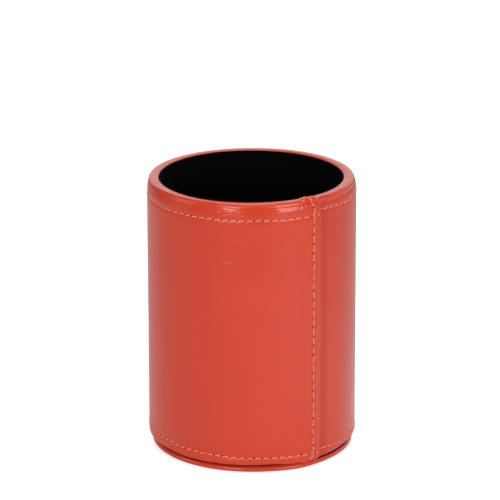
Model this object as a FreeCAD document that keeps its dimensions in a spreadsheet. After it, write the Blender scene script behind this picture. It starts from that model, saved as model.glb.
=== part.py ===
"""Round leather-covered pen cup.

A rolled greyboard tube with a board floor is wrapped in one sheet of leather. The sheet's ends
lap at a sewn seam, it turns in over the rim and under the foot, and a row of stitches runs below
the rim and above the foot. A card sleeve and a black pile cloth line the inside. A card fills the
hollow inside the turned-under leather and stands a little proud of it, and a smaller
leather-covered disc with a felt pad is glued to that card, with a thin dark gap all round.

Millimetres. +Z is up, and the origin is the middle of the pad's underside, where the cup stands.
-Y is the front, and +X is to the right of someone who looks at the front.
"""
import FreeCAD, Part
import math
import os
import Sketcher
from FreeCAD import Placement, Rotation, Vector

doc = FreeCAD.newDocument("PenCup")

# --- Driving sizes -------------------------------------------------------------------------
# Each row: alias, value, what it is.
SIZES = (
    ("body_diameter", 76.2, "over the leather, away from the lap"),
    ("rim_height", 102.0, "table to the top of the rim, away from the lap"),
    ("leather", 1.0, "thickness of the wrap"),
    ("tube_wall", 2.3, "greyboard tube"),
    ("glue_line", 0.05, "between glued round faces"),
    ("rim_roll", 1.2, "rounding of the rim's outer edge"),
    ("lip_roll", 0.3, "rounding of the rim's inner edge"),
    ("foot_roll", 0.6, "rounding of the wrap's lower edge"),
    ("turn_in", 11.0, "depth of the leather turned in below the rim"),
    ("turn_under", 10.0, "width of the leather turned in under the foot"),
    ("floor_board", 2.0, "thickness of the tube's floor"),
    ("cloth", 0.6, "thickness of the pile cloth"),
    ("cloth_drop", 0.3, "from the rim down to the cloth's edge"),
    ("floor_card", 1.0, "card under the cloth on the floor"),
    ("fit_gap", 0.1, "round the cards and the cloth on the floor"),
    ("base_inset", 1.05, "step from the body in to the base disc"),
    ("base_gap", 1.45, "height of the gap between the base disc and the wrap"),
    ("base_leather", 0.6, "thickness of the base's cover"),
    ("base_board", 0.75, "thickness of the base's board"),
    ("base_turn", 10.0, "width of the base's cover turned over its board"),
    ("base_roll", 0.5, "rounding of the base's upper edge"),
    ("heel_roll", 0.4, "rounding of the base's lower edge"),
    ("pad", 0.6, "thickness of the felt pad"),
    ("pad_inset", 2.0, "step from the base in to the pad"),
    ("seam_angle", -54.7, "degrees about Z from +X to the sewn seam"),
    ("lap_ahead", 4.7, "degrees from the seam on to the upper layer's cut edge"),
    ("lap_behind", 5.8, "degrees from the seam back to the lower layer's end"),
    ("lap_rise", 0.5, "how far the doubled leather stands up"),
    ("thread", 0.5, "diameter of the thread"),
    ("thread_gap", 0.05, "between the thread and its groove"),
    ("row_pitch", 3.0, "stitch pitch of the two rows round the body"),
    ("seam_pitch", 3.5, "stitch pitch of the seam"),
    ("needle_gap", 0.7, "between one stitch and the next"),
    ("rim_row_drop", 5.6, "from the rim down to the upper row"),
    ("foot_row_rise", 2.3, "from the wrap's lower edge up to the lower row"),
)

# Each row: alias, formula. They are worked out from the sizes above and from each other.
PLACES = (
    ("centre", "0"),
    # The base disc, from the table up.
    ("pad_top", "Sizes.pad"),
    ("base_radius", "Sizes.body_diameter / 2 - Sizes.base_inset"),
    ("pad_radius", "base_radius - Sizes.pad_inset"),
    ("board_radius", "base_radius - Sizes.base_leather"),
    ("board_bottom", "pad_top + Sizes.base_leather"),
    ("board_top", "board_bottom + Sizes.base_board"),
    ("base_top", "board_top + Sizes.base_leather"),
    ("base_turn_radius", "base_radius - Sizes.base_turn"),
    ("wrap_foot", "base_top + Sizes.base_gap"),
    # The wrap and the tube inside it.
    ("wrap_radius", "Sizes.body_diameter / 2"),
    ("wrap_back", "wrap_radius - Sizes.leather"),
    ("under_radius", "wrap_radius - Sizes.turn_under"),
    ("foot_card_radius", "under_radius - Sizes.fit_gap"),
    ("tube_radius", "wrap_back - Sizes.glue_line"),
    ("tube_bore", "tube_radius - Sizes.tube_wall"),
    ("lip_back", "tube_bore - Sizes.glue_line"),
    ("lip_radius", "lip_back - Sizes.leather"),
    ("tube_bottom", "wrap_foot + Sizes.leather"),
    ("tube_top", "Sizes.rim_height - Sizes.leather"),
    ("lip_bottom", "Sizes.rim_height - Sizes.turn_in"),
    ("rim_top", "Sizes.rim_height"),
    ("floor_top", "tube_bottom + Sizes.floor_board"),
    # The lining.
    ("cloth_radius", "lip_radius - Sizes.glue_line"),
    ("well_radius", "cloth_radius - Sizes.cloth"),
    ("cloth_top", "rim_top - Sizes.cloth_drop"),
    ("floor_card_radius", "lip_radius - Sizes.fit_gap"),
    ("floor_card_top", "floor_top + Sizes.floor_card"),
    ("floor_cloth_top", "floor_card_top + Sizes.cloth"),
    # The lap, where the sheet is doubled.
    ("lap_radius", "wrap_radius + Sizes.lap_rise"),
    ("lap_top", "rim_top + Sizes.lap_rise"),
    ("lap_root", "wrap_radius - Sizes.leather / 2"),
    ("lap_root_top", "rim_top - Sizes.leather / 2"),
    ("lap_shoulder", "rim_top - Sizes.rim_roll / 2"),
    ("lap_crown", "wrap_radius - Sizes.rim_roll / 2"),
    ("lap_lip", "lip_radius + Sizes.lip_roll"),
    ("lap_sweep", "Sizes.lap_ahead + Sizes.lap_behind"),
    ("lap_middle", "Sizes.seam_angle + (Sizes.lap_ahead - Sizes.lap_behind) / 2"),
    # The stitch grooves. Half of the thread's thickness lies below the leather's face.
    ("groove_width", "Sizes.thread + 2 * Sizes.thread_gap"),
    ("groove_depth", "Sizes.thread / 2 + Sizes.thread_gap"),
    ("groove_floor", "wrap_radius - groove_depth"),
    ("lap_groove_floor", "lap_radius - groove_depth"),
    ("clear_radius", "lap_radius + groove_width"),
    ("rim_row", "rim_top - Sizes.rim_row_drop"),
    ("rim_row_low", "rim_row - groove_width / 2"),
    ("rim_row_high", "rim_row + groove_width / 2"),
    ("foot_row", "wrap_foot + Sizes.foot_row_rise"),
    ("foot_row_low", "foot_row - groove_width / 2"),
    ("foot_row_high", "foot_row + groove_width / 2"),
    ("seam_groove_low", "wrap_foot - groove_width"),
    ("seam_groove_crown", "lap_top - groove_depth"),
    ("seam_groove_high", "lap_top + groove_width"),
    ("seam_groove_lip", "lip_radius - groove_width"),
)


def fill_sheet(name, rows, as_formula):
    """A sheet with an alias for each row."""
    sheet = doc.addObject("Spreadsheet::Sheet", name)
    for index, row in enumerate(rows, start=1):
        cell = f"B{index}"
        sheet.set(f"A{index}", row[0])
        sheet.set(cell, "=" + row[1] if as_formula else str(row[1]))
        sheet.setAlias(cell, row[0])
        if not as_formula:
            sheet.set(f"C{index}", row[2])
    return sheet


sizes = fill_sheet("Sizes", SIZES, as_formula=False)
doc.recompute()
places = fill_sheet("Places", PLACES, as_formula=True)
doc.recompute()


def size(alias):
    """The number behind one of the driving sizes."""
    return float(sizes.get(alias))


def place(alias):
    """The number behind one of the worked-out places."""
    return float(places.get(alias))


# --- Small helpers for bodies, sketches and features ---------------------------------------
def new_body(label):
    body = doc.addObject("PartDesign::Body", label)
    body.Label = label
    return body


def origin_plane(body, role):
    """One of the body's own origin planes."""
    return next(item for item in body.Origin.OriginFeatures if item.Role == role)


def new_sketch(body, name, role):
    sketch = body.newObject("Sketcher::SketchObject", name)
    sketch.AttachmentSupport = [(origin_plane(body, role), "")]
    sketch.MapMode = "FlatFace"
    return sketch


def bind(sketch, constraint, alias):
    """Add a constraint whose value is one of the places."""
    index = sketch.addConstraint(constraint)
    sketch.setExpression(f"Constraints[{index}]", f"Places.{alias}")


def outline(body, name, corners, turned_to=None):
    """A closed outline in a plane through the axis. Each corner is a pair of places, radius and
    height. The plane lies along +X, or is turned about Z to an angle from a sheet."""
    sketch = new_sketch(body, name, "XZ_Plane")
    if turned_to:
        sketch.AttachmentOffset = Placement(Vector(), Rotation(Vector(0, 1, 0), 1))
        sketch.setExpression("AttachmentOffset.Rotation.Angle", turned_to)
    points = [Vector(place(radius), place(height), 0) for radius, height in corners]
    for index, start in enumerate(points):
        end = points[(index + 1) % len(points)]
        sketch.addGeometry(Part.LineSegment(start, end))
    for index in range(len(points)):
        following = (index + 1) % len(points)
        sketch.addConstraint(Sketcher.Constraint("Coincident", index, 2, following, 1))
    for index, (radius, height) in enumerate(corners):
        if radius == "centre":
            sketch.addConstraint(Sketcher.Constraint("PointOnObject", index, 1, -2))
        else:
            bind(sketch, Sketcher.Constraint("DistanceX", -1, 1, index, 1, place(radius)), radius)
        bind(sketch, Sketcher.Constraint("DistanceY", -1, 1, index, 1, place(height)), height)
    return sketch


def turn(body, kind, name, sketch, sweep=None):
    """Revolve a sketch about Z: all the way round, or half of the sweep to each side."""
    feature = body.newObject(kind, name)
    feature.Profile = sketch
    feature.ReferenceAxis = (sketch, ["V_Axis"])
    feature.Angle = 360
    if sweep:
        feature.Midplane = True
        feature.setExpression("Angle", f"Places.{sweep}")
    doc.recompute()
    return feature


def round_edges(body, base, name, roll, rings):
    """Round the circular edges that lie at the given pairs of places, radius and height."""
    names = []
    for index, edge in enumerate(base.Shape.Edges, start=1):
        curve = edge.Curve
        if not isinstance(curve, Part.Circle):
            continue
        for radius, height in rings:
            level = abs(curve.Center.z - place(height)) < 1e-6
            if level and abs(curve.Radius - place(radius)) < 1e-6:
                names.append(f"Edge{index}")
    feature = body.newObject("PartDesign::Fillet", name)
    feature.Base = (base, names)
    feature.setExpression("Radius", f"Sizes.{roll}")
    doc.recompute()
    return feature


def disc(label, radius, bottom, thickness, bore=None):
    """A flat disc, or a sleeve when it has a bore. The thickness is a formula."""
    body = new_body(label)
    sketch = new_sketch(body, f"{label}_outline", "XY_Plane")
    sketch.setExpression("AttachmentOffset.Base.z", f"Places.{bottom}")
    for index, alias in enumerate([radius, bore] if bore else [radius]):
        sketch.addGeometry(Part.Circle(Vector(), Vector(0, 0, 1), place(alias)))
        sketch.addConstraint(Sketcher.Constraint("Coincident", index, 3, -1, 1))
        bind(sketch, Sketcher.Constraint("Radius", index, place(alias)), alias)
    pad = body.newObject("PartDesign::Pad", f"{label}_pad")
    pad.Profile = sketch
    pad.setExpression("Length", thickness)
    doc.recompute()
    return body


# --- The carcass: a rolled greyboard tube with a floor let into it --------------------------
disc("body_tube", "tube_radius", "tube_bottom", "Places.tube_top - Places.tube_bottom",
     bore="tube_bore")
disc("body_floor", "lip_back", "tube_bottom", "Sizes.floor_board")
# This card fills the ring of turned-under leather and carries the base disc.
disc("foot_card", "foot_card_radius", "base_top", "Places.tube_bottom - Places.base_top")


# --- The leather wrap -----------------------------------------------------------------------
def leather_wrap():
    """One sheet: the wall, the rim, the strip turned in below it and the one under the foot."""
    body = new_body("leather_wrap")
    section = outline(body, "wrap_section", (
        ("wrap_radius", "wrap_foot"),
        ("wrap_radius", "rim_top"),
        ("lip_radius", "rim_top"),
        ("lip_radius", "lip_bottom"),
        ("lip_back", "lip_bottom"),
        ("lip_back", "tube_top"),
        ("wrap_back", "tube_top"),
        ("wrap_back", "tube_bottom"),
        ("under_radius", "tube_bottom"),
        ("under_radius", "wrap_foot"),
    ))
    shape = turn(body, "PartDesign::Revolution", "wrap_wall", section)
    shape = round_edges(body, shape, "wrap_rim", "rim_roll", [("wrap_radius", "rim_top")])
    shape = round_edges(body, shape, "wrap_lip", "lip_roll", [("lip_radius", "rim_top")])
    shape = round_edges(body, shape, "wrap_foot", "foot_roll", [("wrap_radius", "wrap_foot")])
    for row in ("rim_row", "foot_row"):
        groove = row_groove(body, f"{row}_groove", row, "groove_floor")
        turn(body, "PartDesign::Groove", f"{row}_cut", groove)

    # The doubled leather at the seam stands up from the wall and goes on over the rim.
    lap = outline(body, "lap_section", (
        ("lap_root", "wrap_foot"),
        ("lap_radius", "wrap_foot"),
        ("lap_radius", "lap_shoulder"),
        ("lap_crown", "lap_top"),
        ("lap_lip", "lap_top"),
        ("lap_lip", "lap_root_top"),
        ("lap_root", "lap_root_top"),
    ), turned_to="Places.lap_middle")
    turn(body, "PartDesign::Revolution", "lap_strip", lap, sweep="lap_sweep")
    for row in ("rim_row", "foot_row"):
        groove = row_groove(body, f"lap_{row}_groove", row, "lap_groove_floor")
        turn(body, "PartDesign::Groove", f"lap_{row}_cut", groove)

    # The seam's groove runs up the lap and over the rim.
    groove = outline(body, "seam_groove", (
        ("lap_groove_floor", "seam_groove_low"),
        ("clear_radius", "seam_groove_low"),
        ("clear_radius", "seam_groove_high"),
        ("seam_groove_lip", "seam_groove_high"),
        ("seam_groove_lip", "seam_groove_crown"),
        ("lap_groove_floor", "seam_groove_crown"),
    ), turned_to="Sizes.seam_angle")
    cut = body.newObject("PartDesign::Pocket", "seam_cut")
    cut.Profile = groove
    cut.Midplane = True
    cut.setExpression("Length", "Places.groove_width")
    doc.recompute()


def row_groove(body, name, row, floor):
    """The section of a groove for a row of stitches round the body."""
    return outline(body, name, (
        (floor, f"{row}_low"),
        ("clear_radius", f"{row}_low"),
        ("clear_radius", f"{row}_high"),
        (floor, f"{row}_high"),
    ))


leather_wrap()


# --- The threads ----------------------------------------------------------------------------
def stitch(length):
    """One stitch along X with round ends, as long as it shows on the leather."""
    radius = size("thread") / 2
    tip = length / 2
    shoulder = tip - radius
    corner = radius * math.sqrt(0.5)
    left = Part.Arc(Vector(-tip, 0, 0), Vector(-shoulder - corner, corner, 0),
                    Vector(-shoulder, radius, 0))
    side = Part.LineSegment(Vector(-shoulder, radius, 0), Vector(shoulder, radius, 0))
    right = Part.Arc(Vector(shoulder, radius, 0), Vector(shoulder + corner, corner, 0),
                     Vector(tip, 0, 0))
    axis = Part.LineSegment(Vector(tip, 0, 0), Vector(-tip, 0, 0))
    half = Part.Face(Part.Wire([item.toShape() for item in (left, side, right, axis)]))
    return half.revolve(Vector(), Vector(1, 0, 0), 360)


ALONG_Y = Rotation(Vector(0, 0, 1), 90)
ALONG_Z = Rotation(Vector(0, 1, 0), 90)
ALONG_X = Rotation()


def laid(length, radius, height, angle, direction):
    """A stitch at a radius and height, turned about Z to its angle."""
    shape = stitch(length)
    across = Placement(Vector(radius, 0, height), direction)
    shape.Placement = Placement(Vector(), Rotation(Vector(0, 0, 1), angle)).multiply(across)
    return shape


def thread_node(label, stitches):
    node = doc.addObject("Part::Feature", label)
    node.Label = label
    node.Shape = Part.makeCompound(stitches)
    node.Placement = Placement()


def row_stitches(row):
    """A row round the body. It starts at the lap's cut edge and comes back to it."""
    count = int(math.pi * size("body_diameter") / size("row_pitch") + 0.5)
    step = 360 / count
    length = math.pi * size("body_diameter") / count - size("needle_gap")
    reach = math.degrees(length / 2 / place("wrap_radius"))
    start = size("seam_angle") + size("lap_ahead")
    stitches = []
    for index in range(count):
        back = (index + 0.5) * step
        on_lap = back - reach < place("lap_sweep")
        radius = place("lap_radius") if on_lap else place("wrap_radius")
        stitches.append(laid(length, radius, place(row), start - back, ALONG_Y))
    return stitches


def seam_stitches():
    """The seam, from the foot row to the rim row, then on to the rim and over it."""
    clear = size("thread")
    length = size("seam_pitch") - size("needle_gap")
    stitches = []
    for low, high in (
        (place("foot_row") + clear, place("rim_row") - clear),
        (place("rim_row") + clear, place("lap_shoulder")),
    ):
        count = max(1, int((high - low) / size("seam_pitch") + 0.5))
        pitch = (high - low) / count
        for index in range(count):
            height = low + (index + 0.5) * pitch
            stitches.append(
                laid(pitch - size("needle_gap"), place("lap_radius"), height,
                     size("seam_angle"), ALONG_Z))
    crown = (place("lap_crown") + place("lap_lip")) / 2
    stitches.append(laid(length, crown, place("lap_top"), size("seam_angle"), ALONG_X))
    return stitches


thread_node("rim_thread", row_stitches("rim_row"))
thread_node("foot_thread", row_stitches("foot_row"))
thread_node("seam_thread", seam_stitches())


# --- The lining -------------------------------------------------------------------------------
# The card sleeve is as thick as the leather, so that it lies level with the turned-in strip.
disc("lining_card", "lip_back", "floor_top", "Places.lip_bottom - Places.floor_top",
     bore="lip_radius")
# The floor's card and cloth go in next, and the cloth on the wall stands on them.
disc("lining_floor_card", "floor_card_radius", "floor_top", "Sizes.floor_card")
disc("lining_floor_cloth", "floor_card_radius", "floor_card_top", "Sizes.cloth")
disc("lining_cloth", "cloth_radius", "floor_cloth_top",
     "Places.cloth_top - Places.floor_cloth_top", bore="well_radius")


# --- The base disc ----------------------------------------------------------------------------
def base_leather():
    """The cover: underside, edge and the ring turned over onto the board."""
    body = new_body("base_leather")
    section = outline(body, "base_section", (
        ("centre", "pad_top"),
        ("base_radius", "pad_top"),
        ("base_radius", "base_top"),
        ("base_turn_radius", "base_top"),
        ("base_turn_radius", "board_top"),
        ("board_radius", "board_top"),
        ("board_radius", "board_bottom"),
        ("centre", "board_bottom"),
    ))
    shape = turn(body, "PartDesign::Revolution", "base_cover", section)
    shape = round_edges(body, shape, "base_shoulder", "base_roll", [("base_radius", "base_top")])
    round_edges(body, shape, "base_heel", "heel_roll", [("base_radius", "pad_top")])


base_leather()
disc("base_board", "board_radius", "board_bottom", "Sizes.base_board")
disc("base_pad", "pad_radius", "centre", "Sizes.pad")


# --- Check the document, then write one file for each piece -----------------------------------
doc.recompute()
failed = [item.Name for item in doc.Objects if {"Invalid", "Error"} & set(item.State)]
if failed:
    raise RuntimeError(f"features that failed: {failed}")

pieces = [item for item in doc.Objects
          if item.TypeId == "PartDesign::Body" or item.Name.endswith("_thread")]
os.makedirs("parts", exist_ok=True)
for piece in pieces:
    if piece.Shape.isNull() or not piece.Shape.isValid():
        raise RuntimeError(f"{piece.Label} has no valid shape")
    piece.Shape.exportStep(f"parts/{piece.Label}.step")
    box = piece.Shape.BoundBox
    print(f"{piece.Label}: {len(piece.Shape.Solids)} solid(s), {piece.Shape.Volume:.1f} mm3, "
          f"z {box.ZMin:.2f} to {box.ZMax:.2f}, x {box.XMin:.2f} to {box.XMax:.2f}")
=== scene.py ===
# %% [markdown]
# # A leather-covered pen cup
#
# This lesson dresses a finished CAD model of a pen cup: a stiff tube wrapped in one sheet of
# red-orange leather, sewn with orange thread and lined with black pile. The CAD model gives every
# size and place. Here the pieces that show are made again as fine meshes, with the small things
# that make stitched leather look real: needle holes, sunk threads, a lap that stands up at the
# seam, and edges that wander a little because a person folded them.

import math
import random

import bmesh
import bpy
from mathutils import Matrix, Vector, noise
from mathutils.bvhtree import BVHTree


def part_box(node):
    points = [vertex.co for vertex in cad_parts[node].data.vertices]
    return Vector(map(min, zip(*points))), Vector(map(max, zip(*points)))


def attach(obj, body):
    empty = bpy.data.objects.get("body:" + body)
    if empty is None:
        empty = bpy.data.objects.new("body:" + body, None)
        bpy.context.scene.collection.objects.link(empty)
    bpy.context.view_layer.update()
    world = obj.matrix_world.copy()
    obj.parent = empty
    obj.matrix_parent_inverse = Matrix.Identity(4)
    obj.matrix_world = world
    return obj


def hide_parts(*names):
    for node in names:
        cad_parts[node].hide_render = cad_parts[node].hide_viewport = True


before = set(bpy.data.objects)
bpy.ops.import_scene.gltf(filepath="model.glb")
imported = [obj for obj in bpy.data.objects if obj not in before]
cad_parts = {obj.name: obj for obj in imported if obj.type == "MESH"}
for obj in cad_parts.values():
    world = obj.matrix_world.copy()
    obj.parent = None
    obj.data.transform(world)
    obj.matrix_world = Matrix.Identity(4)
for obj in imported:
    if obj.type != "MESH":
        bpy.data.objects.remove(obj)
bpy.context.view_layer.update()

# %% [markdown]
# ## Sizes
#
# Everything below is in metres, as the frame is. The main radii and heights are read from the CAD
# pieces, so a new pack of the model brings them along. What the frame can't say, such as how far a
# stitch pulls the leather in, is a named value in millimetres times MM.
#
# Places round the cup are given as a turn in degrees: 0 at the front, which faces -Y, growing
# towards +X. The leather is one sheet, so a place on it is given the way a leather worker would
# measure it: how far along the sheet it lies, in degrees from the cut edge that shows.

# %% Sizes read from the frame
MM = 0.001
LEATHER = 1.0 * MM
GLUE = 0.05 * MM
CLOTH = 0.6 * MM

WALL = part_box("leather_wrap")[1].x
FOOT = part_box("leather_wrap")[0].z
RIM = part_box("body_tube")[1].z + LEATHER
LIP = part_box("lining_cloth")[1].x + GLUE
LIP_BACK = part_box("lining_card")[1].x
CARD_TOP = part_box("lining_card")[1].z
print(f"wall {WALL / MM:.2f}, rim {RIM / MM:.2f}, foot {FOOT / MM:.2f}, lip {LIP / MM:.2f} mm")

# %% Where the seam and the cut edge are, in degrees
LAP_AHEAD = 4.7
LAP_SHEET = 10.5

seam_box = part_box("seam_thread")
SEAM_TURN = math.degrees(math.atan2(sum(c.x for c in seam_box), -sum(c.y for c in seam_box)))
CUT_TURN = SEAM_TURN + LAP_AHEAD
SEAM_SHEET = CUT_TURN - SEAM_TURN
print(f"seam at {SEAM_TURN:.1f} degrees, cut edge at {CUT_TURN:.1f}")


# %% Helpers for places round the cup and along the sheet
def around(turn, radius, height):
    """The point at a turn from the front, a radius and a height."""
    angle = math.radians(turn)
    return Vector((radius * math.sin(angle), -radius * math.cos(angle), height))


def turn_of(point):
    return math.degrees(math.atan2(point.x, -point.y))


def from_axis(point):
    return math.hypot(point.x, point.y)


def sheet_of(point):
    """Degrees along the sheet from its cut edge, which is at 0; the sheet runs on to 360."""
    return (CUT_TURN - turn_of(point)) % 360


# %% Helpers for smooth changes
def ease(value):
    """0 below 0, 1 above 1, and a smooth rise between."""
    value = min(max(value, 0.0), 1.0)
    return value * value * (3 - 2 * value)


def bell(distance, width):
    return math.exp(-(distance / width) ** 2)


def along(places, where):
    """A smooth line through a few (place, value) pairs."""
    for (low, start), (high, end) in zip(places, places[1:]):
        if where <= high:
            return start + (end - start) * ease((where - low) / (high - low))
    return places[-1][1]


print("half way up an easy curve:", ease(0.5))

# %% [markdown]
# ## Where the stitches run
#
# The two rows were sewn while the leather was flat, and the sheet was wrapped a little askew, so
# the rows don't meet where its ends lap: just past the cut edge both rows lie about 1.5 mm
# higher. The folded lower edge wanders as well. Plain circles would look machined, so each line
# is given by a few heights along the sheet, in millimetres, with an easy curve between them.

# %% The lines of the two rows and of the lower edge
RIM_ROW_DROP = ((0, 5.7), (95, 5.8), (170, 5.7), (260, 5.4), (332, 4.8), (360, 4.0))
FOOT_ROW_RISE = ((0, 1.5), (10, 2.0), (40, 2.3), (70, 2.8), (95, 3.5), (130, 3.3), (220, 2.8),
                 (300, 2.2), (342, 2.2), (360, 2.9))
LOWER_EDGE = ((0, -0.6), (5, -0.65), (12, -1.0), (17, -0.95), (28, -0.33), (45, -0.52), (62, -0.5),
              (78, -0.3), (95, 0.05), (160, 0.2), (280, 0.3), (336, 0.6), (347, 0.1), (355, -0.2),
              (360, -0.5))


def rim_row(sheet):
    return RIM - along(RIM_ROW_DROP, sheet) * MM


def foot_row(sheet):
    return FOOT + along(FOOT_ROW_RISE, sheet) * MM


print(f"past the cut edge the rows are {(rim_row(360) - rim_row(0)) / MM:.1f} mm and",
      f"{(foot_row(360) - foot_row(0)) / MM:.1f} mm higher")

# %% The needle holes
ROW_COUNT = 80
ROW_STEP = 360 / ROW_COUNT
FIRST_HOLE = 2.6
SEAM_PITCH = 3.5 * MM
SEAM_LOW = FOOT + 1.4 * MM
CROWN_HOLE = 3.0 * MM

row_holes = [FIRST_HOLE + index * ROW_STEP for index in range(ROW_COUNT)]
seam_high = rim_row(SEAM_SHEET)
seam_count = round((seam_high - SEAM_LOW) / SEAM_PITCH)
seam_step = (seam_high - SEAM_LOW) / seam_count
seam_holes = [SEAM_LOW + index * seam_step for index in range(seam_count + 1)]
seam_holes += [seam_high + CROWN_HOLE]
print(f"{len(row_holes)} holes in each row and {len(seam_holes)} up the seam")

# %% [markdown]
# ## The leather wrap
#
# On the real cup this is one sheet, glued round the tube and folded over it at the top and bottom.
# It could be a flat grid bent into a cylinder, but its ends would need joining. A lathe shape is
# simpler: the section of the sheet is a small closed outline with bevelled corners, and a full
# spin carries it round. The faces near the stitches and in the band above them are then divided
# again, so that holes of half a millimetre fit into them without making the whole wall heavy. The
# back of the wall never shows, so it isn't divided at all.


# %% Turn a bmesh into a piece
def placed(name, data):
    """Put some data into the scene as an object."""
    made = bpy.data.objects.new(name, data)
    bpy.context.scene.collection.objects.link(made)
    return made


def shaped(name, bm, body="root"):
    """Turn a finished bmesh into a smooth object that rides on a body."""
    mesh = bpy.data.meshes.new(name)
    bm.normal_update()
    bm.to_mesh(mesh)
    bm.free()
    mesh.polygons.foreach_set("use_smooth", [True] * len(mesh.polygons))
    made = placed(name, mesh)
    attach(made, body)
    print(f"{name}: {len(mesh.polygons)} faces")
    return made


# %% Helpers that draw a section and spin it
def outline(bm, corners, closed=True):
    """Edges through (radius, height) corners in the plane at the front."""
    verts = [bm.verts.new(around(0, radius, height)) for radius, height in corners]
    pairs = list(zip(verts, verts[1:]))
    if closed:
        pairs.append((verts[-1], verts[0]))
    for pair in pairs:
        bm.edges.new(pair)
    return verts


def round_corners(bm, corners, rounds):
    """Bevel some corners of a section: the place in the list, the size in mm and the segments."""
    for index, size, segments in rounds:
        bmesh.ops.bevel(bm, geom=[corners[index]], offset=size * MM, offset_type="OFFSET",
                        affect="VERTICES", segments=segments, profile=0.5, material=-1,
                        clamp_overlap=True)


def split_long_edges(bm, longest, wanted=lambda edge: True):
    """Divide each edge into equal lengths no longer than this."""
    for edge in [edge for edge in bm.edges if wanted(edge)]:
        cuts = math.ceil(edge.calc_length() / longest) - 1
        if cuts > 0:
            bmesh.ops.subdivide_edges(bm, edges=[edge], cuts=cuts)


def spin_round(bm, steps, first_turn=0.0):
    """Carry the section all the way round Z, close the poles and turn the faces outwards."""
    everything = bm.verts[:] + bm.edges[:]
    bmesh.ops.rotate(bm, verts=bm.verts[:], cent=(0, 0, 0),
                     matrix=Matrix.Rotation(math.radians(first_turn), 3, "Z"))
    bmesh.ops.spin(bm, geom=everything, cent=(0, 0, 0), axis=(0, 0, 1), angle=math.tau,
                   steps=steps, use_merge=True)
    bmesh.ops.remove_doubles(bm, verts=bm.verts, dist=1e-6)
    bmesh.ops.recalc_face_normals(bm, faces=bm.faces[:])

# %% The section of the sheet, spun all the way round
WRAP_STEPS = 240
WRAP_EDGE = 1.02 * MM
TURNED_UNDER = 10 * MM
TOUCH = 0.01 * MM


def glued_to_tube(edge):
    """The long back of the wall, which never shows and needs no points of its own."""
    return all(abs(-vert.co.y - (WALL - LEATHER)) < TOUCH for vert in edge.verts)


wrap = bmesh.new()
corners = outline(wrap, (
    (LIP, CARD_TOP),
    (LIP, RIM),
    (WALL - 1.05 * MM, RIM),
    (WALL - 0.60 * MM, RIM - 0.6 * MM),
    (WALL - 0.22 * MM, RIM - 2.7 * MM),
    (WALL, RIM - 5.4 * MM),
    (WALL, FOOT),
    (WALL - TURNED_UNDER, FOOT),
    (WALL - TURNED_UNDER, FOOT + LEATHER),
    (WALL - LEATHER, FOOT + LEATHER),
    (WALL - LEATHER, RIM - LEATHER),
    (LIP_BACK, RIM - LEATHER),
    (LIP_BACK, CARD_TOP),
))
round_corners(wrap, corners, ((1, 0.32, 3), (2, 0.25, 3), (3, 0.45, 4), (4, 1.2, 3), (6, 0.7, 5)))
split_long_edges(wrap, WRAP_EDGE, lambda edge: not glued_to_tube(edge))
spin_round(wrap, WRAP_STEPS, first_turn=CUT_TURN)
print(f"plain wrap: {len(wrap.faces)} faces")

# %% Divide the faces round the stitches
FINE_CUTS = 4
LIP_ROLL = 0.4 * MM
RIM_ROW_ZONE = (RIM - 6.9 * MM, RIM - 2.9 * MM)
FOOT_ROW_ZONE = (FOOT + 0.8 * MM, FOOT + 4.6 * MM)
PUFF_ZONE = (RIM - 4.0 * MM, RIM - 0.2 * MM)
PUFF_SHEET = 75
SEAM_ZONE = 2.3


def on_outside(vert):
    """The face of the leather that shows: the wall, and the top of the rim."""
    radius = from_axis(vert.co)
    on_top = vert.co.z > RIM - 0.5 * LEATHER and radius > LIP + LIP_ROLL
    return radius > WALL - 0.5 * LEATHER or on_top


def near_stitches(vert):
    if not on_outside(vert):
        return False
    sheet = sheet_of(vert.co)
    in_rim_row = RIM_ROW_ZONE[0] < vert.co.z < RIM_ROW_ZONE[1]
    in_foot_row = FOOT_ROW_ZONE[0] < vert.co.z < FOOT_ROW_ZONE[1]
    in_seam = abs(sheet - SEAM_SHEET) < SEAM_ZONE
    in_puffs = sheet < PUFF_SHEET and PUFF_ZONE[0] < vert.co.z < PUFF_ZONE[1]
    return in_rim_row or in_foot_row or in_seam or in_puffs


busy = {vert for vert in wrap.verts if near_stitches(vert)}
busy_edges = [edge for edge in wrap.edges if set(edge.verts) <= busy]
bmesh.ops.subdivide_edges(wrap, edges=busy_edges, cuts=FINE_CUTS, use_grid_fill=True)
print(f"divided wrap: {len(wrap.faces)} faces")

# %% Cut columns of points where the lap steps down
STEP_COLUMNS = (-0.9, -0.45, -0.2, -0.02, 0.12)
STEP_REACH = 5 * MM

for aside in STEP_COLUMNS:
    facing = around(CUT_TURN + aside, 1, 0)
    across = around(CUT_TURN + aside + 90, 1, 0)
    near = [face for face in wrap.faces if face.calc_center_median().dot(facing) > 0
            and abs(face.calc_center_median().dot(across)) < STEP_REACH]
    edges = {edge for face in near for edge in face.edges}
    verts = {vert for face in near for vert in face.verts}
    bmesh.ops.bisect_plane(wrap, geom=list(verts) + list(edges) + near, plane_co=(0, 0, 0),
                           plane_no=across, dist=1e-6)
print(f"wrap with {len(STEP_COLUMNS)} more columns: {len(wrap.faces)} faces")

# %% [markdown]
# ## Sinking the stitches into the leather
#
# A lock stitch pulls the leather down. Along each row there is a shallow valley, and each needle
# hole is a small deep pit that stands open as wide as its own thread left it. Between the rim and
# the row the leather swells into a soft band, with two larger puffs where the fold had leather to
# spare. At the lap the lower end of the sheet makes a gentle ridge, and the cut edge on top ends
# in a sharp step. The glue didn't hold the wrap evenly either: on one side it stands out from the
# tube by up to half a millimetre, most of all at the foot.
#
# Each of these could be modelled by hand with a sculpting brush. Worked out as one height above
# the plain surface they stay exact and can be changed one by one, so each point of the outside is
# moved along its normal by that height.

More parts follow.
